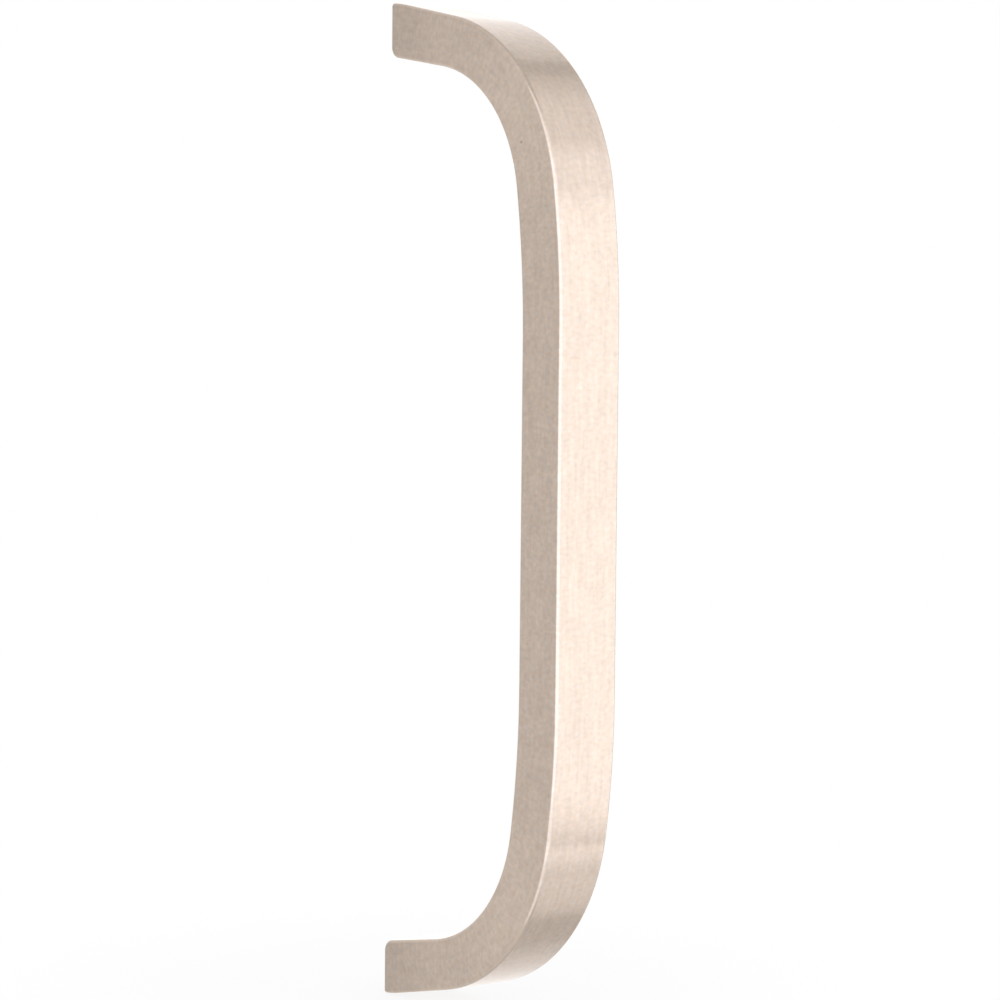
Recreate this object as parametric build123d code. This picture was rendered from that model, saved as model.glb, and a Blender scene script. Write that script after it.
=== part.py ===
from build123d import *
import os
from math import cos, radians, sin, tan

# Curved bar handle for a door or drawer front, one solid casting. All lengths in millimetres.
# Z runs along the grip, Y = 0 is the door's face and the grip stands out from it towards -Y.
# The origin is on the door's face, midway between the two screw holes.

# Fixing
HOLE_SPACING = 128.0  # between the axes of the two screw holes
FOOT_OUTSIDE = 4.0  # from a hole's axis to the outer end of its foot
FOOT_INSIDE = 3.5  # from a hole's axis to the inner end of its foot
TAP_DRILL_RADIUS = 1.65  # for an M4 thread
MOUTH_RADIUS = 2.1  # of the 45 degree chamfer where the screw enters
HOLE_DEPTH = 6.5  # of the hole's round wall, chamfer included
DRILL_POINT_ANGLE = 118.0  # of the cone that the drill leaves

# Section of the bar
WIDTH = 10.0  # flat side to flat side, along X
GRIP_THICKNESS = 8.0  # front to back in the straight middle
EDGE_RADIUS = 0.5  # along both sides, all the way round

# Outer outline, seen from the side
PROJECTION = 37.0  # from the door's face to the front of the grip
OUTER_LEAN = 12.0  # degrees that the leg's outer side leans towards the middle
OUTER_BEND_RADIUS = 28.0
OUTER_EASE_RADIUS = 115.0  # large radius that eases the bend into the straight
OUTER_EASE_ANGLE = 9.0
OUTER_FOOT_RADIUS = 0.5  # corner between the foot's seat and the leg's outer side

# Inner outline
INNER_LEAN = 10.0
INNER_BEND_RADIUS = 20.0
INNER_EASE_RADIUS = 125.0
INNER_EASE_ANGLE = 9.0
INNER_FOOT_RADIUS = 0.9


def half_outline(foot_z, depth, lean, bend_radius, ease_radius, ease_angle):
    """Leg, bend and easing bend of one outline, from the foot to the end of the straight grip."""
    grip_heading = radians(90 - ease_angle)
    bend_depth = bend_radius * (sin(grip_heading) - sin(radians(lean)))
    ease_depth = ease_radius * (1 - sin(grip_heading))
    leg_length = (depth - bend_depth - ease_depth) / cos(radians(lean))
    leg = PolarLine((0, foot_z), leg_length, 180 + lean)
    bend = JernArc(leg @ 1, leg % 1, bend_radius, 90 - lean - ease_angle)
    ease = JernArc(bend @ 1, bend % 1, ease_radius, ease_angle)
    return [leg, bend, ease]


def side_profile():
    """The whole bow seen from the side, drawn with Y to the right and Z up."""
    outer = half_outline(
        HOLE_SPACING / 2 + FOOT_OUTSIDE,
        PROJECTION,
        OUTER_LEAN,
        OUTER_BEND_RADIUS,
        OUTER_EASE_RADIUS,
        OUTER_EASE_ANGLE,
    )
    inner = half_outline(
        HOLE_SPACING / 2 - FOOT_INSIDE,
        PROJECTION - GRIP_THICKNESS,
        INNER_LEAN,
        INNER_BEND_RADIUS,
        INNER_EASE_RADIUS,
        INNER_EASE_ANGLE,
    )
    seat = Line(inner[0] @ 0, outer[0] @ 0)
    upper = [*outer, *inner, seat]
    lower = [edge.mirror(Plane.XZ) for edge in upper]
    front = Line(outer[-1] @ 1, outer[-1].mirror(Plane.XZ) @ 1)
    back = Line(inner[-1] @ 1, inner[-1].mirror(Plane.XZ) @ 1)
    return make_face([*upper, *lower, front, back])


def bow():
    """The bar with its feet's corners and its long edges rounded."""
    bar = extrude(Plane.YZ * side_profile(), WIDTH / 2, both=True)
    corners = bar.edges().filter_by(Axis.X).group_by(Axis.Y)[-1].sort_by(Axis.Z)
    bar = fillet([corners[0], corners[-1]], OUTER_FOOT_RADIUS)
    corners = bar.faces().sort_by(Axis.Y)[-2:].edges().filter_by(Axis.X).sort_by(Axis.Z)
    bar = fillet(corners[1:3], INNER_FOOT_RADIUS)
    sides = bar.faces().filter_by(Axis.X)
    return fillet(sides.edges(), EDGE_RADIUS)


def tapped_hole():
    """What the drill and the chamfer tool take out of a foot, with the mouth's centre at the origin."""
    cone_length = TAP_DRILL_RADIUS / tan(radians(DRILL_POINT_ANGLE / 2))
    half_section = make_face(
        Polyline(
            (0, 0),
            (MOUTH_RADIUS, 0),
            (TAP_DRILL_RADIUS, TAP_DRILL_RADIUS - MOUTH_RADIUS),
            (TAP_DRILL_RADIUS, -HOLE_DEPTH),
            (0, -HOLE_DEPTH - cone_length),
            close=True,
        )
    )
    return revolve(half_section, Axis.Y)


def bar_handle():
    """The finished handle."""
    holes = [Pos(0, 0, side * HOLE_SPACING / 2) * tapped_hole() for side in (1, -1)]
    return bow() - holes


os.makedirs("parts", exist_ok=True)
export_step(bar_handle(), "parts/bar_handle.step")
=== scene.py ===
"""Looks for the curved bar handle: one bow of flat-sided bar in warm satin nickel.

The handle is a single casting, so one purpose-made mesh stands for its one CAD node.
Shapes are worked out in millimetres and brought to metres once, at the end.
"""

import logging
from collections.abc import Callable, Iterable, Mapping, Sequence
from dataclasses import astuple, dataclass, field, replace
from enum import Enum
from math import atan2, copysign, cos, hypot, pi, radians, sin, tan
from typing import TypeAlias

import bmesh
import bpy
from mathutils import Matrix, Vector


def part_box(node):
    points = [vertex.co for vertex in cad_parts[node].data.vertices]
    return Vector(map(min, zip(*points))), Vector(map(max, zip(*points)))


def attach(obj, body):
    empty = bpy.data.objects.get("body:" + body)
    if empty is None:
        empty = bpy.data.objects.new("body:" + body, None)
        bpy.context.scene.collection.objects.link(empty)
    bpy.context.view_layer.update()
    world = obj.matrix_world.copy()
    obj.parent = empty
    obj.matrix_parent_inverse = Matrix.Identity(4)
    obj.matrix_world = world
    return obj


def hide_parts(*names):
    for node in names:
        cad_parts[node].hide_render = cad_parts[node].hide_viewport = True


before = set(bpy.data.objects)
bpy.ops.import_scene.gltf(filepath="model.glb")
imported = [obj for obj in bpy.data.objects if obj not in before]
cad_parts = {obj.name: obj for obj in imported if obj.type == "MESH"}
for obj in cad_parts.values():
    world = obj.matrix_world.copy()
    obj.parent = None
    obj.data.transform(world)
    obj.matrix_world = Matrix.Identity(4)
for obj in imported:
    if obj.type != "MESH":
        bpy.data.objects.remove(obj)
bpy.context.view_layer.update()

NODE = "bar_handle"
BODY = "root"
SLOT = "satin_nickel"
MM = 0.001
WELD = 1e-4  # mm, closer than this two points are one
FLAT = 0.999  # share of its normal along an axis, from which a face counts as square to it
LEVEL = 0.02  # the same share, up to which a face counts as parallel to it
LEG_TILT = 0.25  # share towards the door that no face of a leg reaches beside its foot
FACE_WEIGHT = "__mod_weightednormals_faceweight"  # where weighted normals read the strengths
COOL = (0.96, 1.0, 1.06)  # light of the walls on the right and behind
COOLER = (0.92, 1.0, 1.17)  # light of the wall on the left
WHITE = (1.0, 1.0, 1.0)

log = logging.getLogger("bar_handle")

Number: TypeAlias = "float | Wire"
Colour: TypeAlias = tuple[float, float, float]
Point: TypeAlias = tuple[float, float, float]


# ---------------------------------------------------------------------------
# Shader maths
# ---------------------------------------------------------------------------


class Wire:
    """An output socket that Python arithmetic can build on."""

    def __init__(self, graph: "Graph", socket: bpy.types.NodeSocket | None) -> None:
        """Wraps one output.

        Args:
            graph: The graph that the socket's node is in.
            socket: The output itself, or None for a node without one.
        """
        self.graph = graph
        self.socket = socket

    def _math(self, operation: str, left: Number, right: Number) -> "Wire":
        """Adds one Math node.

        Args:
            operation: Blender's name of the operation.
            left: First value or wire.
            right: Second value or wire.

        Returns:
            The node's result.
        """
        return self.graph.add("ShaderNodeMath", {"operation": operation}, {0: left, 1: right})

    def __add__(self, other: Number) -> "Wire":
        """self + other."""
        return self._math("ADD", self, other)

    def __radd__(self, other: Number) -> "Wire":
        """other + self."""
        return self._math("ADD", other, self)

    def __sub__(self, other: Number) -> "Wire":
        """self - other."""
        return self._math("SUBTRACT", self, other)

    def __rsub__(self, other: Number) -> "Wire":
        """other - self."""
        return self._math("SUBTRACT", other, self)

    def __mul__(self, other: Number) -> "Wire":
        """self * other."""
        return self._math("MULTIPLY", self, other)

    def __rmul__(self, other: Number) -> "Wire":
        """other * self."""
        return self._math("MULTIPLY", other, self)

    def __pow__(self, other: Number) -> "Wire":
        """self ** other."""
        return self._math("POWER", self, other)

    def at_most(self, ceiling: Number) -> "Wire":
        """The smaller of self and ceiling."""
        return self._math("MINIMUM", self, ceiling)


class Graph:
    """A node tree that is filled by expressions."""

    def __init__(self, tree: bpy.types.NodeTree) -> None:
        """Empties a tree and takes it over.

        Args:
            tree: The material's or the world's node tree.
        """
        self.tree = tree
        tree.nodes.clear()

    def add(
        self,
        kind: str,
        settings: Mapping[str, object] | None = None,
        inputs: Mapping[int | str, object] | None = None,
        output: int | str = 0,
    ) -> Wire:
        """Adds one node of any kind.

        Args:
            kind: The node's type name.
            settings: Properties of the node, set before its sockets.
            inputs: A value, or a wire to link, for each named or numbered socket.
            output: Which of its outputs is returned.

        Returns:
            The chosen output.
        """
        node = self.tree.nodes.new(kind)
        for name, value in (settings or {}).items():
            setattr(node, name, value)
        for key, value in (inputs or {}).items():
            socket = node.inputs[key]
            if isinstance(value, Wire):
                self.tree.links.new(value.socket, socket)
            elif hasattr(value, "__len__") and len(socket.default_value) == 4:
                socket.default_value = (*value, 1.0)
            else:
                socket.default_value = value
        return Wire(self, node.outputs[output] if len(node.outputs) else None)

    def stretch(self, vector: Wire, factors: "Wire | Sequence[float]") -> Wire:
        """Multiplies a vector's or a colour's parts.

        Args:
            vector: What is multiplied.
            factors: One factor for each of its three parts.

        Returns:
            The stretched vector.
        """
        return self.add("ShaderNodeVectorMath", {"operation": "MULTIPLY"}, {0: vector, 1: factors})

    def noise(self, vector: Wire, pattern: "Pattern") -> Wire:
        """Fractal noise from about 0 to 1 with its middle at 0.5.

        Args:
            vector: Position in metres, with its third part along the bar.
            pattern: Size of its cells.

        Returns:
            The noise value.
        """
        across, along = 1 / (pattern.across * MM), 1 / (pattern.along * MM)
        return self.add(
            "ShaderNodeTexNoise",
            {"noise_dimensions": "3D"},
            {
                "Vector": self.stretch(vector, (across, across, along)),
                "Scale": 1.0,
                "Detail": pattern.layers,
            },
        )

    def ray(self, kind: str) -> Wire:
        """1 for rays of one kind and 0 for the others."""
        return self.add("ShaderNodeLightPath", output=f"Is {kind} Ray")

    def fade(self, value: Wire, start: float, end: float, low: float, high: float) -> Wire:
        """Eases from low to high while a value goes from start to end.

        Args:
            value: What is read.
            start: Where low ends.
            end: Where high begins.
            low: Result up to start.
            high: Result from end on.

        Returns:
            The eased value.
        """
        return self.add(
            "ShaderNodeMapRange",
            {"interpolation_type": "SMOOTHSTEP"},
            {"Value": value, "From Min": start, "From Max": end, "To Min": low, "To Max": high},
        )

    def blend(self, share: Number, first: object, second: object) -> Wire:
        """Mixes two colours.

        Args:
            share: 0 for the first and 1 for the second.
            first: Colour or wire.
            second: Colour or wire.

        Returns:
            The mixed colour.
        """
        return self.add(
            "ShaderNodeMix",
            {"data_type": "RGBA", "clamp_factor": True},
            {0: share, 6: first, 7: second},
            output=2,
        )


# ---------------------------------------------------------------------------
# Finishes
# ---------------------------------------------------------------------------


class Strength(Enum):
    """How much a face's direction counts in the shading at its corners, in Blender's numbers."""

    WEAK = -16384
    MEDIUM = 0
    STRONG = 16384


class Mark(Enum):
    """Names of what the bar's mesh says about each of its points."""

    GRAIN = "bar_grain"
    SIDE = "bar_side"


@dataclass(frozen=True)
class Pattern:
    """Size of a noise pattern's cells in millimetres, and how many finer layers it has."""

    across: float
    along: float
    layers: float = 1.0


@dataclass(frozen=True)
class Shares:
    """How much each pattern counts in the tone of one side of the bar."""

    lines: float
    tooth: float
    mottle: float

    def mix(self, lines: Wire, tooth: Wire, mottle: Wire) -> Wire:
        """Adds the patterns up by their shares."""
        return self.lines * lines + self.tooth * tooth + self.mottle * mottle


@dataclass(frozen=True)
class Fade:
    """A factor that changes from one length along the bar to another, both in millimetres."""

    start: float
    end: float
    low: float
    high: float


@dataclass(frozen=True)
class Fleck:
    """A small pit in the plate: its place and radius in millimetres, and how dark it is."""

    place: Point
    radius: float
    depth: float


@dataclass(frozen=True)
class SatinNickel:
    """Warm nickel plate over a casting that was brushed along the bar.

    The flank's shares and the painted light along the bar (a painted sheen at the bends and
    painted shade by the feet) are for the flat sides, and the face's shares for what runs round
    the bar. The flecks' core is a share of their radius. Their raggedness and the lines' depth
    are in millimetres.
    """

    colour: Colour = (0.66, 0.542, 0.451)
    tone_spread: float = 0.30
    warm_shift: Colour = (1.015, 1.0, 0.985)
    tint_spread: Colour = (1.06, 1.0, 0.94)
    roughness: float = 0.22
    line_roughness: float = 0.05
    mottle_roughness: float = 0.025
    edge_polish: float = 0.05
    anisotropy: float = 0.9
    # how much lighter the base colour is made along the middle of each rounded edge
    edge_lightening: float = 0.34
    streaks: Pattern = Pattern(0.95, 7.0)
    hairlines: Pattern = Pattern(0.46, 3.0)
    tooth: Pattern = Pattern(0.76, 0.55)
    mottle: Pattern = Pattern(2.6, 2.6, 2.0)
    tint: Pattern = Pattern(0.70, 0.70)
    face: Shares = Shares(lines=0.50, tooth=0.38, mottle=0.12)
    flank: Shares = Shares(lines=0.36, tooth=0.48, mottle=0.16)
    line_depth: float = 0.003
    tooth_share: float = 0.3
    # painted light along the flat sides: brighter at the bends as a painted sheen, darker towards
    # the feet as painted shade
    painted_light_fades: tuple[Fade, ...] = (
        Fade(34.0, 50.0, 0.98, 1.05),
        Fade(56.0, 68.0, 1.0, 0.93),
        Fade(71.0, 84.0, 1.0, 0.88),
    )
    fleck_tone: float = 0.45
    fleck_core: float = 0.3
    fleck_raggedness: float = 0.3
    flecks: tuple[Fleck, ...] = (
        Fleck((-5.0, -28.57, 47.72), 0.34, 0.55),
        Fleck((-5.0, -33.70, 39.33), 0.17, 0.25),
    )

    def tone(self, factor: float, shift: float) -> Colour:
        """The plate's colour made lighter or darker.

        Args:
            factor: What every channel is multiplied by.
            shift: How far it leans to the warm side.

        Returns:
            The colour.
        """
        return tuple(c * factor * w**shift for c, w in zip(self.colour, self.warm_shift))

    def material(self) -> bpy.types.Material:
        """Builds the finish.

        Returns:
            The material, named after the record's slot.
        """
        material = bpy.data.materials.new(SLOT + "_brushed")
        material.use_nodes = True
        g = Graph(material.node_tree)
        grain = g.add("ShaderNodeAttribute", {"attribute_name": Mark.GRAIN.value}, output="Vector")
        side = g.add("ShaderNodeAttribute", {"attribute_name": Mark.SIDE.value}, output="Fac")
        place = g.add("ShaderNodeTexCoord", output="Object")

        lines = 0.5 * (g.noise(grain, self.streaks) + g.noise(grain, self.hairlines))
        tooth = g.noise(grain, self.tooth)
        mottle = g.noise(place, self.mottle)
        tint = g.noise(place, self.tint)
        edge = 4 * side * (1 - side)  # 1 along the middle of each rounded edge
        pit = self._pits(g, place, tooth)

        face = self.face.mix(lines, tooth, mottle)
        flank = self.flank.mix(lines, tooth, mottle)
        # tone from the brushing patterns, made lighter along the middle of each rounded edge
        grain_and_edge_tone = face + side * (flank - face) + self.edge_lightening * edge
        colour = g.blend(
            grain_and_edge_tone, self.tone(1 - self.tone_spread, 1.0), self.tone(1 + self.tone_spread, -1.0)
        )
        cool = tuple(2 - c for c in self.tint_spread)
        colour = g.stretch(colour, g.blend(tint, cool, self.tint_spread))
        # painted light along the bar, on the flat sides only: a painted sheen at the bends and
        # painted shade towards the feet
        colour = g.stretch(colour, self._painted_light_along_bar(g, grain, side))
        colour = g.blend(pit, colour, self.tone(self.fleck_tone, 1.0))

        roughness = (
            self.roughness
            + self.line_roughness * (lines - 0.5)
            + self.mottle_roughness * (mottle - 0.5)
            - self.edge_polish * edge
        )
        normal = g.add(
            "ShaderNodeBump",
            None,
            {
                "Strength": 1.0,
                "Distance": self.line_depth * MM,
                "Height": lines + self.tooth_share * tooth - pit,
            },
        )
        surface = g.add(
            "ShaderNodeBsdfPrincipled",
            None,
            {
                "Base Color": colour,
                "Metallic": 1.0,
                "Roughness": roughness,
                "Anisotropic": self.anisotropy,
                "Normal": normal,
            },
        )
        g.add("ShaderNodeOutputMaterial", None, {"Surface": surface})
        return material

    def _pits(self, g: Graph, place: Wire, tooth: Wire) -> Number:
        """Where the flecks are.

        Args:
            g: The graph to add to.
            place: Position on the handle, in metres.
            tooth: The finest pattern, which makes their outlines ragged.

        Returns:
            0 on the whole plate, rising to each fleck's depth inside it.
        """
        pit: Number = 0.0
        for fleck in self.flecks:
            away = g.add(
                "ShaderNodeVectorMath",
                {"operation": "DISTANCE"},
                {0: place, 1: tuple(c * MM for c in fleck.place)},
                output="Value",
            )
            ragged = away + self.fleck_raggedness * MM * (tooth - 0.5)
            core, rim = self.fleck_core * fleck.radius * MM, fleck.radius * MM
            pit = pit + fleck.depth * g.fade(ragged, core, rim, 1.0, 0.0)
        return pit

    def _painted_light_along_bar(self, g: Graph, grain: Wire, side: Wire) -> Wire:
        """Painted light on the flat sides: a painted sheen makes them brighter at the bends, and
        painted shade makes them darker by the feet.

        Args:
            g: The graph to add to.
            grain: Position along the bar in its third part, in metres.
            side: 1 on a flat side and 0 on the rest.

        Returns:
            What the colour is multiplied by, as a grey.
        """
        along = g.add("ShaderNodeSeparateXYZ", None, {0: grain}, output="Z")
        along = g.add("ShaderNodeMath", {"operation": "ABSOLUTE"}, {0: along})
        factor: Number = 1.0
        for fade in self.painted_light_fades:
            factor = factor * g.fade(along, fade.start * MM, fade.end * MM, fade.low, fade.high)
        level = 1 + side * (factor - 1)
        return g.add("ShaderNodeCombineXYZ", None, {0: level, 1: level, 2: level})


@dataclass(frozen=True)
class PaleFloor:
    """Matt white paper that carries a faint shadow and melts into the white round it."""

    colour: Colour = (0.86, 0.86, 0.86)
    shadow_share: float = 0.14
    melt_start: float = 0.02
    melt_end: float = 0.07

    def material(self) -> bpy.types.Material:
        """Builds the finish.

        Returns:
            The material.
        """
        material = bpy.data.materials.new("pale_floor")
        material.use_nodes = True
        g = Graph(material.node_tree)
        seen = g.ray("Camera") + g.ray("Glossy") + g.ray("Transmission")
        place = g.add("ShaderNodeTexCoord", output="Object")
        flat = g.stretch(place, (1.0, 1.0, 0.0))
        away = g.add("ShaderNodeVectorMath", {"operation": "LENGTH"}, {0: flat}, output="Value")
        white = g.fade(away, self.melt_start, self.melt_end, 1 - self.shadow_share, 1.0)
        paper = g.add("ShaderNodeBsdfDiffuse", None, {"Color": self.colour})
        glow = g.add("ShaderNodeEmission", None, {"Color": WHITE, "Strength": 1.0})
        share = white * seen.at_most(1.0)
        surface = g.add("ShaderNodeMixShader", None, {0: share, 1: paper, 2: glow})
        g.add("ShaderNodeOutputMaterial", None, {"Surface": surface})
        return material


# ---------------------------------------------------------------------------
# The handle
# ---------------------------------------------------------------------------


@dataclass(frozen=True)
class Outline:
    """Half of the outer or inner outline: a toe, a leaning leg, a bend and an easing bend."""

    foot_z: float
    depth: float
    lean: float
    bend_radius: float
    ease_radius: float
    ease_angle: float
    toe_length: float = 0.0
    toe_angle: float = 0.0

    @property
    def toe_radius(self) -> float:
        """Radius of the toe's curve, or 0 where it runs straight on from the leg."""
        return self.toe_length / radians(self.toe_angle) if self.toe_angle else 0.0

    @property
    def toe_depth(self) -> float:
        """How far the toe reaches from the seat.

        Returns:
            The depth that it takes up.
        """
        if not self.toe_angle:
            return self.toe_length * cos(radians(self.lean))
        rise = sin(radians(self.lean)) - sin(radians(self.lean - self.toe_angle))
        return self.toe_radius * rise

    @property
    def seat_z(self) -> float:
        """Height of the corner with the seat, which a curved toe brings in from the leg's line.

        Returns:
            The corner's Z.
        """
        if not self.toe_angle:
            return self.foot_z
        run = cos(radians(self.lean - self.toe_angle)) - cos(radians(self.lean))
        return self.foot_z - self.toe_depth * tan(radians(self.lean)) + self.toe_radius * run

    @property
    def leg_length(self) -> float:
        """Length of the straight leg, from the toe to where the bend starts.

        Returns:
            The length.
        """
        level = sin(radians(90 - self.ease_angle))
        bend = self.bend_radius * (level - sin(radians(self.lean)))
        ease = self.ease_radius * (1 - level)
        return (self.depth - self.toe_depth - bend - ease) / cos(radians(self.lean))

    @property
    def runs(self) -> list[tuple[float, float, float]]:
        """The runs that make up the outline, from the seat on.

        Returns:
            For each run, its length if it is straight, and its radius and angle if it is bent.
        """
        straight_toe = 0.0 if self.toe_angle else self.toe_length
        return [
            (straight_toe, self.toe_radius, radians(self.toe_angle)),
            (self.leg_length, 0.0, 0.0),
            (0.0, self.bend_radius, radians(90 - self.lean - self.ease_angle)),
            (0.0, self.ease_radius, radians(self.ease_angle)),
        ]


def blank(name: str, bm: bmesh.types.BMesh) -> bpy.types.Object:
    """Turns a bmesh into an object of the scene.

    Args:
        name: The object's name.
        bm: Its shape, which is freed.

    Returns:
        The object, at the origin.
    """
    mesh = bpy.data.meshes.new(name)
    bm.to_mesh(mesh)
    bm.free()
    made = bpy.data.objects.new(name, mesh)
    bpy.context.scene.collection.objects.link(made)
    return made


def only_verts(geometry: Iterable[object]) -> list[bmesh.types.BMVert]:
    """The points among some geometry."""
    return [g for g in geometry if isinstance(g, bmesh.types.BMVert)]


@dataclass
class ScrewHole:
    """Blind hole with an M4 thread in a foot, as the tools that cut it. Lengths in millimetres.

    The ridge's flat crest, the tap's lead-in past its end and its spare turns are in pitches.
    """

    drill_radius: float = 1.65
    mouth_radius: float = 2.1
    depth: float = 6.5
    point_angle: float = 118.0
    clearance: float = 0.5
    pitch: float = 0.7
    crest_radius: float = 2.0
    core_radius: float = 1.6
    thread_depth: float = 5.7
    flank_angle: float = 30.0
    crest_width: float = 0.125
    lead_in: float = 1.5
    spare_turns: int = 3
    steps: int = 48

    def drill(self, centre_z: float) -> bmesh.types.BMesh:
        """The drill with its point and the chamfer tool, as one turned shape.

        Args:
            centre_z: Where the hole's axis is.

        Returns:
            The closed shape.
        """
        bm = bmesh.new()
        tip = -self.depth - self.drill_radius / tan(radians(self.point_angle / 2))
        wide = self.mouth_radius + self.clearance
        shoulder = self.drill_radius - self.mouth_radius
        stations = [
            (0.0, self.clearance),
            (wide, self.clearance),
            (self.drill_radius, shoulder),
            (self.drill_radius, -self.depth),
            (0.0, tip),
        ]
        points = [bm.verts.new((r, y, 0.0)) for r, y in stations]
        for first, second in zip(points, points[1:]):
            bm.edges.new((first, second))
        bmesh.ops.spin(
            bm,
            geom=bm.verts[:] + bm.edges[:],
            cent=(0, 0, 0),
            axis=(0, 1, 0),
            angle=2 * pi,
            steps=self.steps,
            use_merge=True,
        )
        return self._place(bm, centre_z)

    def tap(self, centre_z: float) -> bmesh.types.BMesh:
        """The tap: a right-hand ridge wound round a core, cut off flat at both ends.

        Args:
            centre_z: Where the hole's axis is.

        Returns:
            The closed shape.
        """
        bm = bmesh.new()
        flank = (self.crest_radius - self.core_radius) * tan(radians(self.flank_angle))
        crest = self.pitch * self.crest_width
        root = self.pitch - crest - 2 * flank
        turns = int((self.thread_depth + self.clearance) / self.pitch) + self.spare_turns
        y = -self.thread_depth - self.lead_in * self.pitch
        tip = bm.verts.new((self.core_radius, y, 0.0))
        for _ in range(turns):
            for radius, rise in (
                (self.core_radius, root),
                (self.crest_radius, flank),
                (self.crest_radius, crest),
                (self.core_radius, flank),
            ):
                grown = bmesh.ops.extrude_vert_indiv(bm, verts=[tip])
                tip = grown["verts"][0]
                y += rise
                tip.co = (radius, y, 0.0)
        bmesh.ops.spin(
            bm,
            geom=bm.verts[:] + bm.edges[:],
            cent=(0, 0, 0),
            axis=(0, 1, 0),
            dvec=(0, self.pitch / self.steps, 0),
            angle=2 * pi,
            steps=self.steps,
        )
        bmesh.ops.remove_doubles(bm, verts=bm.verts[:], dist=WELD)
        for level, way in ((self.clearance, 1.0), (-self.thread_depth, -1.0)):
            bmesh.ops.bisect_plane(
                bm,
                geom=bm.verts[:] + bm.edges[:] + bm.faces[:],
                dist=WELD,
                plane_co=(0, level, 0),
                plane_no=(0, way, 0),
                clear_outer=True,
            )
            rim = [e for e in bm.edges if self._on_rim(e, level)]
            bmesh.ops.holes_fill(bm, edges=rim, sides=0)
        return self._place(bm, centre_z)

    @staticmethod
    def _on_rim(edge: bmesh.types.BMEdge, level: float) -> bool:
        """Whether an edge is an open one at a level of the axis."""
        return edge.is_boundary and all(abs(v.co.y - level) < 10 * WELD for v in edge.verts)

    @staticmethod
    def _place(bm: bmesh.types.BMesh, centre_z: float) -> bmesh.types.BMesh:
        """Closes a tool's seams and moves it to its foot.

        Args:
            bm: The tool's shape round the origin.
            centre_z: Where the hole's axis is.

        Returns:
            The same shape in place.
        """
        bmesh.ops.remove_doubles(bm, verts=bm.verts[:], dist=WELD)
        bmesh.ops.recalc_face_normals(bm, faces=bm.faces[:])
        bmesh.ops.translate(bm, verts=bm.verts[:], vec=(0, 0, centre_z))
        return bm


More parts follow.
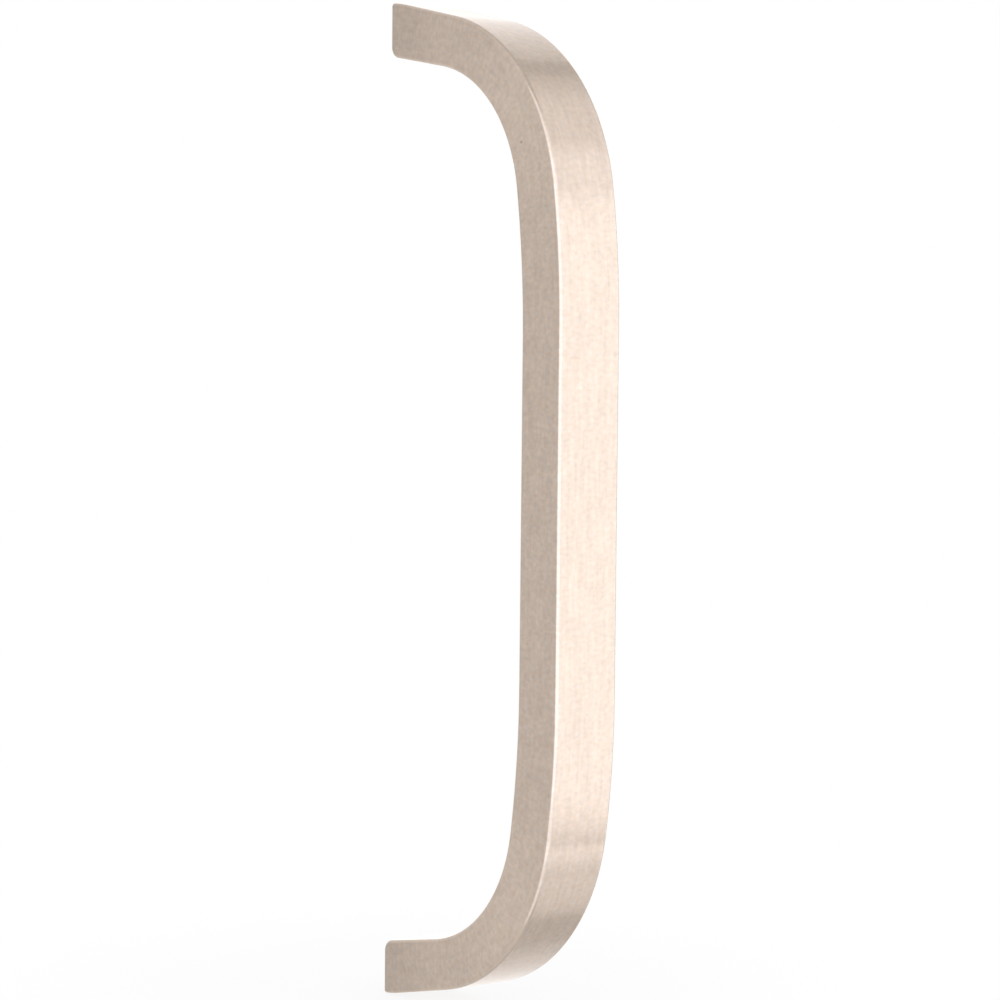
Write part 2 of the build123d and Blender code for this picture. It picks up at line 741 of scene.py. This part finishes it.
@dataclass
class BarHandle:
    """The whole handle: one bow of flat-sided bar with splayed feet. Lengths in millimetres.

    The brush box is the mesh's texture space. The sheen of the brushing takes its direction from
    an upright axis through the box's centre, and the box's sides weigh X against Y in it.
    """

    name: str = "bar_handle_satin"
    width: float = 10.0
    edge_radius: float = 0.5
    hole_spacing: float = 128.0
    foot_outside: float = 4.0
    foot_inside: float = 3.5
    outer_foot_radius: float = 0.5
    inner_foot_radius: float = 1.5
    toe_length: float = 3.0
    toe_angle: float = 7.0
    projection: float = 37.0
    thickness: float = 8.0
    outer_lean: float = 12.0
    outer_bend_radius: float = 28.0
    outer_ease_radius: float = 115.0
    inner_lean: float = 10.0
    inner_bend_radius: float = 20.0
    inner_ease_radius: float = 125.0
    ease_angle: float = 9.0
    run_steps: tuple[int, ...] = (2, 7, 92, 12, 12)
    depth_cuts: int = 3
    width_cuts: int = 4
    round_segments: int = 6
    sharp_angle: float = 28.0
    brush_centre: Point = (0.0, 50.0, 0.0)
    brush_box: Point = (50.0, 40.0, 200.0)
    hole: ScrewHole = field(default_factory=ScrewHole)
    finish: SatinNickel = field(default_factory=SatinNickel)

    @property
    def outer(self) -> Outline:
        """The outline that faces away from the door.

        Returns:
            Its upper half.
        """
        return Outline(
            foot_z=self.hole_spacing / 2 + self.foot_outside,
            depth=self.projection,
            lean=self.outer_lean,
            bend_radius=self.outer_bend_radius,
            ease_radius=self.outer_ease_radius,
            ease_angle=self.ease_angle,
            toe_length=self.toe_length,
            toe_angle=self.toe_angle,
        )

    @property
    def inner(self) -> Outline:
        """The outline that the fingers reach behind.

        Returns:
            Its upper half.
        """
        return Outline(
            foot_z=self.hole_spacing / 2 - self.foot_inside,
            depth=self.projection - self.thickness,
            lean=self.inner_lean,
            bend_radius=self.inner_bend_radius,
            ease_radius=self.inner_ease_radius,
            ease_angle=self.ease_angle,
            toe_length=self.toe_length,
        )

    @property
    def middle(self) -> Outline:
        """The line halfway between them, which the grain follows."""
        plain = [replace(o, toe_length=0.0, toe_angle=0.0) for o in (self.outer, self.inner)]
        return Outline(*((a + b) / 2 for a, b in zip(*map(astuple, plain))))

    def build(self) -> bpy.types.Object:
        """Makes the handle, dresses it and hands it to the frame.

        Returns:
            The finished piece.
        """
        bar = blank(self.name, self._bow())
        log.info("bow: %d faces", len(bar.data.polygons))
        self._cut(bar, self.hole.drill, "drill")
        self._cut(bar, self.hole.tap, "tap")
        self._clean(bar.data)
        self._mark(bar.data)
        self._shade(bar)
        self._turn_sheen(bar.data)
        bar.data.name = self.name
        bar.data.materials.clear()
        bar.data.materials.append(self.finish.material())
        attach(bar, BODY)
        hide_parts(NODE)
        return bar

    def _bow(self) -> bmesh.types.BMesh:
        """The bar with its feet's corners and its long edges rounded.

        Returns:
            The closed shape.
        """
        bm = bmesh.new()
        outer = self._trace(bm, self.outer)
        inner = self._trace(bm, self.inner)
        chains = set(outer) | set(inner)
        bmesh.ops.bridge_loops(bm, edges=outer + inner)
        across = [e for e in bm.edges if e not in chains]
        bmesh.ops.subdivide_edges(bm, edges=across, cuts=self.depth_cuts, use_grid_fill=True)
        everything = bm.verts[:] + bm.edges[:] + bm.faces[:]
        bmesh.ops.mirror(bm, geom=everything, matrix=Matrix.Identity(4), merge_dist=WELD, axis="Z")
        bmesh.ops.translate(bm, verts=bm.verts[:], vec=(-self.width / 2, 0, 0))
        grown = bmesh.ops.extrude_face_region(bm, geom=bm.faces[:])
        bmesh.ops.translate(bm, verts=only_verts(grown["geom"]), vec=(self.width, 0, 0))
        bmesh.ops.remove_doubles(bm, verts=bm.verts[:], dist=WELD)
        bmesh.ops.recalc_face_normals(bm, faces=bm.faces[:])
        self._round_feet(bm)
        self._round(bm, [e for e in bm.edges if self._is_long_edge(e)], self.edge_radius)
        bmesh.ops.remove_doubles(bm, verts=bm.verts[:], dist=WELD)
        flat = self.width / 2 - self.edge_radius
        ribs = [e for e in bm.edges if all(abs(abs(v.co.x) - flat) < WELD for v in e.verts)]
        ribs = [e for e in ribs if e.verts[0].co.x * e.verts[1].co.x < 0]
        bmesh.ops.subdivide_edges(bm, edges=ribs, cuts=self.width_cuts, use_grid_fill=True)
        bmesh.ops.dissolve_degenerate(bm, dist=WELD, edges=bm.edges[:])
        bmesh.ops.recalc_face_normals(bm, faces=bm.faces[:])
        return bm

    def _trace(self, bm: bmesh.types.BMesh, outline: Outline) -> list[bmesh.types.BMEdge]:
        """Draws half an outline, from its foot to the middle of the grip.

        Args:
            bm: The shape to draw in.
            outline: What to draw.

        Returns:
            The edges drawn.
        """
        known = set(bm.edges)
        tip = bm.verts.new((0.0, 0.0, outline.seat_z))
        heading = pi + radians(outline.lean - outline.toe_angle)
        for (length, radius, angle), steps in zip(outline.runs, self.run_steps):
            ahead = Vector((0, cos(heading), sin(heading)))
            left = Vector((0, -sin(heading), cos(heading)))
            tip = self._walk(bm, tip, steps, ahead * length / steps, tip.co + left * radius, angle)
            heading += angle
        last = self.run_steps[-1]
        self._walk(bm, tip, last, Vector((0, 0, -tip.co.z / last)), tip.co.copy(), 0.0)
        return [e for e in bm.edges if e not in known]

    @staticmethod
    def _walk(
        bm: bmesh.types.BMesh,
        tip: bmesh.types.BMVert,
        steps: int,
        move: Vector,
        centre: Vector,
        angle: float,
    ) -> bmesh.types.BMVert:
        """Draws one straight or bent run on from a point.

        Args:
            bm: The shape to draw in.
            tip: Where the run starts.
            steps: Number of edges in it.
            move: What each edge adds where it is straight.
            centre: What it turns about where it is bent.
            angle: How far it turns, in radians.

        Returns:
            The run's last point.
        """
        made = bmesh.ops.spin(
            bm, geom=[tip], cent=centre, axis=(1, 0, 0), dvec=move, angle=angle, steps=steps
        )
        return only_verts(made["geom_last"])[0]

    def _round_feet(self, bm: bmesh.types.BMesh) -> None:
        """Rounds the corners between the seats and the legs.

        Args:
            bm: The bar with sharp edges.
        """
        corners = (
            (self.outer, self.outer_foot_radius, 90 - self.outer_lean + self.toe_angle),
            (self.inner, self.inner_foot_radius, 90 + self.inner_lean),
        )
        for outline, radius, angle in corners:
            seat = {v for v in bm.verts if abs(v.co.y) < WELD}
            line = {v for v in seat if abs(abs(v.co.z) - outline.seat_z) < WELD}
            edges = [e for e in bm.edges if line.issuperset(e.verts)]
            self._round(bm, edges, radius / tan(radians(angle / 2)))

    def _round(
        self, bm: bmesh.types.BMesh, edges: list[bmesh.types.BMEdge], offset: float
    ) -> None:
        """Rounds some edges.

        Args:
            bm: The shape that they are in.
            edges: The edges.
            offset: From each edge to where its rounding starts.
        """
        bmesh.ops.bevel(
            bm,
            geom=edges,
            offset=offset,
            offset_type="OFFSET",
            segments=self.round_segments,
            profile=0.5,
            affect="EDGES",
            material=-1,
            clamp_overlap=False,
            loop_slide=True,
        )

    @staticmethod
    def _is_long_edge(edge: bmesh.types.BMEdge) -> bool:
        """Whether an edge is between a flat side and what runs round the bar."""
        sides = [abs(f.normal.x) > FLAT for f in edge.link_faces]
        return len(sides) == 2 and sides[0] != sides[1]

    def _cut(
        self, bar: bpy.types.Object, cutter: Callable[[float], bmesh.types.BMesh], word: str
    ) -> None:
        """Takes one tool's shape out of both feet.

        Args:
            bar: The handle.
            cutter: Makes the tool's shape for a hole's place.
            word: The tool's name.
        """
        for side in (1, -1):
            tool = blank(f"{word}_{side}", cutter(side * self.hole_spacing / 2))
            boolean = bar.modifiers.new(word, "BOOLEAN")
            boolean.operation = "DIFFERENCE"
            boolean.solver = "EXACT"
            boolean.object = tool
            bpy.context.view_layer.update()
            shown = bar.evaluated_get(bpy.context.evaluated_depsgraph_get())
            cut = bpy.data.meshes.new_from_object(shown)
            bar.modifiers.remove(boolean)
            bpy.data.objects.remove(tool)
            bar.data = cut
        log.info("%s: %d faces", word, len(bar.data.polygons))

    @staticmethod
    def _clean(mesh: bpy.types.Mesh) -> None:
        """Closes the cut mesh and turns its faces outwards.

        Args:
            mesh: The handle's mesh in millimetres.
        """
        bm = bmesh.new()
        bm.from_mesh(mesh)
        bmesh.ops.remove_doubles(bm, verts=bm.verts[:], dist=WELD)
        bmesh.ops.dissolve_degenerate(bm, dist=WELD, edges=bm.edges[:])
        bmesh.ops.recalc_face_normals(bm, faces=bm.faces[:])
        log.info("open edges: %d", sum(not e.is_manifold for e in bm.edges))
        bm.to_mesh(mesh)
        bm.free()

    def _mark(self, mesh: bpy.types.Mesh) -> None:
        """Writes the faces' strengths and what the finish reads at each point.

        Args:
            mesh: The handle's mesh in millimetres.
        """
        mesh.shade_smooth()
        mesh.set_sharp_from_angle(angle=radians(self.sharp_angle))
        mesh.attributes.new(Mark.GRAIN.value, "FLOAT_VECTOR", "POINT")
        mesh.attributes.new(Mark.SIDE.value, "FLOAT", "POINT")
        mesh.attributes.new(FACE_WEIGHT, "INT", "FACE")
        grain = mesh.attributes[Mark.GRAIN.value]
        side = mesh.attributes[Mark.SIDE.value]
        for face, weight in zip(mesh.polygons, mesh.attributes[FACE_WEIGHT].data):
            weight.value = self._strength(face).value
        for v, g, s in zip(mesh.vertices, grain.data, side.data):
            along, off = self._along(abs(v.co.z), v.co.y)
            g.vector = Vector((v.co.x, off, copysign(along, v.co.z))) * MM
            s.value = v.normal.x**2

    @staticmethod
    def _shade(bar: bpy.types.Object) -> None:
        """Brings the handle to metres and makes its flat faces look flat.

        Args:
            bar: The handle, with its mesh in millimetres.
        """
        bar.data.transform(Matrix.Scale(MM, 4))
        weighted = bar.modifiers.new("weighted", "WEIGHTED_NORMAL")
        weighted.mode = "CORNER_ANGLE"
        weighted.use_face_influence = True
        weighted.keep_sharp = True
        bpy.context.view_layer.update()
        shown = bar.evaluated_get(bpy.context.evaluated_depsgraph_get())
        bar.data = bpy.data.meshes.new_from_object(shown)
        bar.modifiers.remove(weighted)
        bar.data.attributes.remove(bar.data.attributes[FACE_WEIGHT])

    def _turn_sheen(self, mesh: bpy.types.Mesh) -> None:
        """Sets the box from which the brushed sheen takes its direction.

        Args:
            mesh: The handle's mesh in metres.
        """
        mesh.use_auto_texspace = False
        mesh.texspace_location = Vector(self.brush_centre) * MM
        mesh.texspace_size = Vector(self.brush_box) * MM

    def _strength(self, face: bpy.types.MeshPolygon) -> Strength:
        """Ranks a face, so that flat faces stay flat up to the roundings beside them.

        Args:
            face: A face of the handle in millimetres.

        Returns:
            Strong for the flat sides and seats, weak for the roundings and inside the holes, and
            medium for the rest.
        """
        x, y, z = face.center
        aside, inwards = abs(face.normal.x), face.normal.y
        if y < -WELD and hypot(x, abs(z) - self.hole_spacing / 2) < self.hole.mouth_radius:
            return Strength.WEAK
        if aside > FLAT or (inwards > FLAT and y > -WELD):
            return Strength.STRONG
        at_foot = y > -2 * self.inner_foot_radius and inwards > LEG_TILT
        return Strength.WEAK if at_foot or aside > LEVEL else Strength.MEDIUM

    def _along(self, z: float, y: float) -> tuple[float, float]:
        """Where a point of the upper half lies on the middle line.

        Args:
            z: Height above the middle of the grip.
            y: Distance behind the door's face, so below 0 for every point.

        Returns:
            How far along the line it is from the middle of the grip, and how far outside it.
        """
        line = self.middle
        lean, ease = radians(line.lean), radians(line.ease_angle)
        turn = radians(90 - line.lean - line.ease_angle)
        heading = pi + lean
        start_z = line.foot_z + sin(heading) * line.leg_length
        start_y = cos(heading) * line.leg_length
        bend_z = start_z + cos(heading) * line.bend_radius
        bend_y = start_y - sin(heading) * line.bend_radius
        heading += turn
        ease_z = bend_z + cos(heading) * (line.ease_radius - line.bend_radius)
        ease_y = line.ease_radius - line.depth
        if z <= ease_z:
            return z, -line.depth - y
        tilt = atan2(z - ease_z, ease_y - y)
        if tilt <= ease:
            away = hypot(z - ease_z, ease_y - y)
            return ease_z + tilt * line.ease_radius, away - line.ease_radius
        run = ease_z + ease * line.ease_radius
        tilt = atan2(z - bend_z, bend_y - y)
        if tilt <= ease + turn:
            away = hypot(z - bend_z, bend_y - y)
            return run + (tilt - ease) * line.bend_radius, away - line.bend_radius
        run += turn * line.bend_radius
        dz, dy = z - start_z, y - start_y
        return run + dy * cos(lean) + dz * sin(lean), dz * cos(lean) - dy * sin(lean)


# ---------------------------------------------------------------------------
# Studio
# ---------------------------------------------------------------------------


def direction(azimuth: float, elevation: float) -> Vector:
    """A direction from the object.

    Args:
        azimuth: Degrees from the front of the handle towards +X.
        elevation: Degrees above the horizon.

    Returns:
        The unit vector.
    """
    a, e = radians(azimuth), radians(elevation)
    return Vector((sin(a) * cos(e), -cos(a) * cos(e), sin(e)))


@dataclass(frozen=True)
class Band:
    """One strip of a soft wall: its lower and upper edge as elevations, and how bright it is."""

    low: float
    high: float
    level: float


@dataclass
class SoftWall:
    """A tall soft light that bends over the handle in level bands. Lengths in metres."""

    name: str
    azimuth: float
    width: float
    colour: Colour
    bands: tuple[Band, ...]
    distance: float = 1.2

    def hang(self, target: Vector) -> None:
        """Hangs one area lamp for each band.

        Args:
            target: The point that they face.
        """
        for number, band in enumerate(self.bands):
            name = f"{self.name}_{number}"
            height = 2 * self.distance * tan(radians(band.high - band.low) / 2)
            lamp = bpy.data.lights.new(name, "AREA")
            lamp.shape = "RECTANGLE"
            lamp.size, lamp.size_y = self.width, height
            lamp.energy = band.level * pi * self.width * height  # watts for that level
            lamp.color = self.colour
            made = bpy.data.objects.new(name, lamp)
            back = direction(self.azimuth, (band.low + band.high) / 2)
            made.location = target + back * self.distance
            made.rotation_euler = back.to_track_quat("Z", "Y").to_euler()
            made.visible_camera = False
            bpy.context.scene.collection.objects.link(made)


@dataclass
class Studio:
    """White surroundings, a pale floor and the soft walls of light."""

    floor_radius: float = 3.0
    floor_segments: int = 96
    glossy_level: float = 0.78
    glossy_falloff: float = 0.165
    fill_level: float = 0.8
    floor: PaleFloor = field(default_factory=PaleFloor)
    walls: tuple[SoftWall, ...] = (
        SoftWall(
            name="right_wall",
            azimuth=48.0,
            width=1.30,
            colour=COOL,
            bands=(
                Band(-54.0, -34.5, 0.31),
                Band(-34.5, -30.5, 0.53),
                Band(-30.5, -27.4, 0.60),
                Band(-27.4, -23.4, 0.20),
                Band(-23.4, -19.0, 0.76),
                Band(-19.0, 17.6, 0.845),
                Band(18.4, 34.0, 0.575),
                Band(34.0, 53.0, 0.39),
                Band(53.0, 61.0, 0.28),
            ),
        ),
        SoftWall(
            name="left_wall",
            azimuth=-38.5,
            width=3.40,
            colour=COOLER,
            bands=(
                Band(-60.0, -48.0, 0.24),
                Band(-48.0, -34.0, 0.36),
                Band(-34.0, -25.7, 0.60),
                Band(-25.7, -20.5, 0.42),
                Band(-20.5, 17.8, 0.80),
                Band(17.8, 20.3, 0.50),
                Band(20.3, 30.5, 0.74),
                Band(30.5, 42.0, 0.49),
                Band(42.0, 58.0, 0.35),
            ),
        ),
        SoftWall(
            name="back_wall",
            azimuth=135.0,
            width=0.80,
            colour=COOL,
            bands=(
                Band(-53.0, -40.0, 0.24),
                Band(-40.0, -31.0, 0.50),
                Band(-31.0, -22.0, 0.64),
                Band(-22.0, 0.0, 0.75),
                Band(0.0, 17.0, 1.02),
                Band(17.0, 23.0, 0.76),
                Band(23.0, 33.0, 0.55),
                Band(33.0, 42.0, 0.44),
                Band(42.0, 54.0, 0.31),
            ),
        ),
    )

    def build(self, low: Vector, high: Vector) -> None:
        """Sets the studio up round the handle.

        Args:
            low: The object's lowest corner.
            high: Its highest corner.
        """
        centre = (low + high) / 2
        for wall in self.walls:
            wall.hang(centre)
            log.info("%s: %d bands", wall.name, len(wall.bands))
        self._lay_floor(low.z, centre)
        self._light_world()

    def _lay_floor(self, level: float, centre: Vector) -> None:
        """Lays the floor under the handle.

        Args:
            level: Its height.
            centre: The middle of the object. Not used.
        """
        bm = bmesh.new()
        bmesh.ops.create_circle(
            bm, cap_ends=True, radius=self.floor_radius, segments=self.floor_segments
        )
        bmesh.ops.translate(bm, verts=bm.verts[:], vec=(0.0, 0.0, level))
        floor = blank("floor", bm)
        floor.data.materials.append(self.floor.material())
        floor.visible_glossy = False
        floor.visible_shadow = False

    def _light_world(self) -> None:
        """Makes the surroundings white to the camera and soft to the metal."""
        scene = bpy.context.scene
        scene.world = bpy.data.worlds.new("white_room")
        scene.world.use_nodes = True
        g = Graph(scene.world.node_tree)
        glossy = g.ray("Glossy")
        way = g.add("ShaderNodeTexCoord", output="Generated")
        height = g.add("ShaderNodeSeparateXYZ", None, {0: way}, output="Z")
        room = self.glossy_level * (1 - self.glossy_falloff * height**2)
        white = (g.ray("Camera") + g.ray("Transmission")).at_most(1.0)
        strength = white + (1 - white) * (glossy * room + (1 - glossy) * self.fill_level)
        background = g.add("ShaderNodeBackground", None, {"Color": WHITE, "Strength": strength})
        g.add("ShaderNodeOutputWorld", None, {"Surface": background})
        scene.view_settings.view_transform = "Standard"


@dataclass(frozen=True)
class PhotoCamera:
    """The photograph's camera.

    It stands round the handle at angles in degrees and a distance in metres, and pans, tilts and
    rolls in radians. The lens and its sensor are in millimetres.
    """

    azimuth: float = -38.269
    elevation: float = 3.112
    distance: float = 0.40687
    aim: Point = (0.0, -0.0185, 0.0)
    pan: float = -0.00014
    tilt: float = 0.0025
    roll: float = -0.00971
    lens: float = 110.111
    sensor: float = 36.0
    nearest: float = 0.01
    farthest: float = 50.0

    def place(self) -> None:
        """Sets up the scene's camera."""
        back = direction(self.azimuth, self.elevation)
        ahead = -back
        right = ahead.cross(Vector((0, 0, 1))).normalized()
        up = right.cross(ahead)
        for angle, axis in ((self.pan, up), (self.tilt, right)):
            turn = Matrix.Rotation(angle, 3, axis)
            ahead, right, up = turn @ ahead, turn @ right, turn @ up
        turn = Matrix.Rotation(self.roll, 3, ahead)
        right, up = turn @ right, turn @ up
        lens = bpy.data.cameras.new("photo_camera")
        lens.lens = self.lens
        lens.sensor_width = self.sensor
        lens.clip_start = self.nearest
        lens.clip_end = self.farthest
        camera = bpy.data.objects.new("photo_camera", lens)
        matrix = Matrix((right, up, -ahead)).transposed().to_4x4()
        matrix.translation = Vector(self.aim) + back * self.distance
        camera.matrix_world = matrix
        bpy.context.scene.collection.objects.link(camera)
        bpy.context.scene.camera = camera


def main() -> None:
    """Builds the handle and the studio round it."""
    logging.basicConfig(level=logging.INFO, format="%(name)s: %(message)s")
    handle = BarHandle().build()
    log.info("%s: %d faces", handle.name, len(handle.data.polygons))
    Studio().build(*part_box(NODE))
    PhotoCamera().place()


if __name__ == "__main__":
    main()
